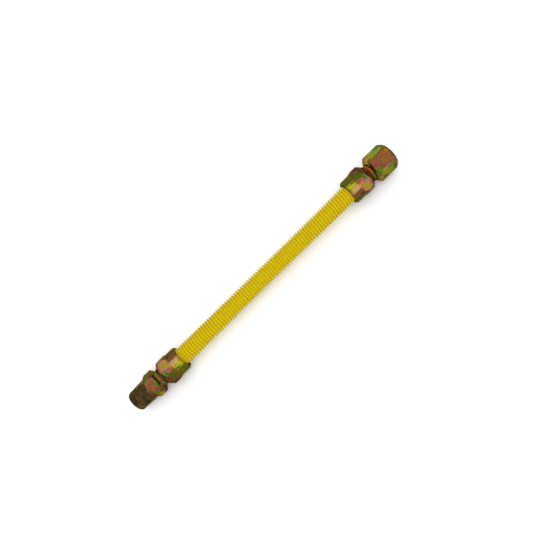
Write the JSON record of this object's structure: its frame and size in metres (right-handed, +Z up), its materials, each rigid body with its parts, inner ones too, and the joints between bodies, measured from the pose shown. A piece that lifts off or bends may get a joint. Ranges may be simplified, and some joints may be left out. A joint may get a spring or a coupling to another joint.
{
  "type": "corrugated stainless steel hose",
  "caption": "Flexible gas hose: a helically corrugated, yellow-coated metal tube with a swivel flare nut and a pipe-thread adapter at each end, male at the left and female at the right.",
  "frame": {"origin": "on the floor, under the middle of the overall box of the hose lying at rest", "axes": "+X along the hose towards the female end, +Z up; the hose rests on a flat of the male end's nut and on a corner of the female adapter's hexagon, so it slopes up by 0.32 degrees towards +X"},
  "size_m": [0.3444, 0.0308, 0.0299],
  "materials": {
    "yellow_coating": "glossy yellow coating over stainless steel",
    "nut_plating": "iridescent yellow zinc plating, olive with green and pink patches",
    "adapter_plating": "iridescent yellow zinc plating, brown-gold with magenta and green patches"
  },
  "bodies": {
    "hose": {"corrugated_tube": "yellow_coating"},
    "male_nut": {"male_end_nut": "nut_plating"},
    "female_nut": {"female_end_nut": "nut_plating"},
    "male_fitting": {"male_adapter": "adapter_plating"},
    "female_fitting": {"female_adapter": "adapter_plating"}
  },
  "joints": [
    {"name": "male_nut_turn", "type": "hinge", "parent": "hose", "child": "male_nut", "pos_m": [-0.13365, 0, 0.01329], "axis": [1, 0, 0.0056], "range_deg": [0, 2520]},
    {"name": "male_adapter_travel", "type": "slide", "parent": "hose", "child": "male_fitting", "axis": [-1, 0, -0.0056], "range_m": [0, 0.0112]},
    {"name": "female_nut_turn", "type": "hinge", "parent": "hose", "child": "female_nut", "pos_m": [0.14175, 0, 0.01484], "axis": [-1, 0, -0.0056], "range_deg": [0, 2520]},
    {"name": "female_adapter_travel", "type": "slide", "parent": "hose", "child": "female_fitting", "axis": [1, 0, 0.0056], "range_m": [0, 0.0112]}
  ],
  "couplings": [
    {"joint": "male_adapter_travel", "follows": "male_nut_turn", "m_per_rad": 0.00025266},
    {"joint": "female_adapter_travel", "follows": "female_nut_turn", "m_per_rad": 0.00025266}
  ]
}
